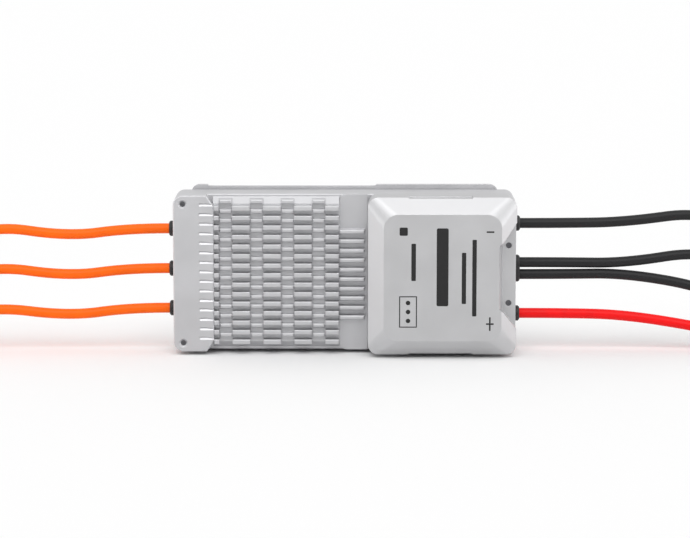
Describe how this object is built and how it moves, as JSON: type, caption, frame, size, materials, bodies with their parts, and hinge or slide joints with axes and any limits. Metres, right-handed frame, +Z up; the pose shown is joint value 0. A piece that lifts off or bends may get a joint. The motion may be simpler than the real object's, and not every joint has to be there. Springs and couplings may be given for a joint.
{
  "type": "electronic speed controller",
  "caption": "Brushless motor speed controller in a finned aluminium case with a raised capacitor cover, phase leads at one end and battery and signal leads at the other.",
  "frame": {"origin": "centre of the bottom of the case's box, leads left out, as it stands on its long edge", "axes": "+X from the phase leads' end to the battery leads' end, +Y from the finned front to the mounting back, +Z up"},
  "size_m": [0.543, 0.0455, 0.0738],
  "materials": {
    "silver_casting": "satin bead-blasted anodised casting",
    "silver_cover": "satin bead-blasted anodised casting",
    "silver_plate": "satin anodised plate",
    "seal_rubber": "matte",
    "board_laminate": "solder mask",
    "brass_metal": "plain brass",
    "dark_steel": "black oxide",
    "chip_plastic": "moulded epoxy",
    "pad_silicone": "soft thermal pad",
    "can_sleeve": "sleeved can",
    "copper_metal": "plain copper",
    "ceramic_tan": "fired ceramic",
    "plug_plastic": "moulded nylon",
    "gland_rubber": "satin",
    "orange_silicone": "satin silicone",
    "black_silicone": "satin silicone",
    "red_silicone": "satin silicone",
    "tinned_copper": "tinned strands",
    "sleeve_black": "heat-shrink",
    "sleeve_red": "heat-shrink",
    "gold_plate": "gold plated"
  },
  "bodies": {
    "root": {"heatsink_housing": "silver_casting", "capacitor_cover": "silver_cover", "base_tray": "silver_casting", "base_plate": "silver_plate", "cover_gasket": "seal_rubber", "housing_gasket": "seal_rubber", "power_board": "board_laminate", "control_board": "board_laminate", "board_spacers": "brass_metal", "board_screws": "dark_steel", "mosfets": "chip_plastic", "thermal_pad": "pad_silicone", "bulk_capacitors": "can_sleeve", "control_chips": "chip_plastic", "board_headers": "chip_plastic", "current_shunts": "copper_metal", "ceramic_capacitors": "ceramic_tan", "battery_busbars": "copper_metal", "phase_terminals": "copper_metal", "battery_terminals": "copper_metal", "signal_header": "plug_plastic", "phase_glands": "gland_rubber", "battery_glands": "gland_rubber", "signal_gland": "gland_rubber", "phase_lead_tails": "orange_silicone", "battery_lead_tails": "black_silicone", "signal_lead_tails": "black_silicone", "phase_lead_cores": "tinned_copper", "battery_lead_cores": "tinned_copper", "housing_screws": "dark_steel", "cover_screws": "dark_steel", "tray_screws": "dark_steel", "base_plate_screws": "dark_steel", "phase_lead_a": "orange_silicone", "phase_lead_b": "orange_silicone", "phase_lead_c": "orange_silicone", "battery_lead_negative": "black_silicone", "battery_lead_positive": "red_silicone", "signal_lead_upper": "black_silicone", "signal_lead_lower": "black_silicone", "phase_a_sleeve": "sleeve_black", "phase_b_sleeve": "sleeve_black", "phase_c_sleeve": "sleeve_black", "battery_negative_sleeve": "sleeve_black", "battery_positive_sleeve": "sleeve_red", "phase_a_bullet": "gold_plate", "phase_b_bullet": "gold_plate", "phase_c_bullet": "gold_plate", "battery_negative_bullet": "gold_plate", "battery_positive_bullet": "gold_plate", "signal_upper_plug": "plug_plastic", "signal_lower_plug": "plug_plastic"}
  },
  "joints": []
}
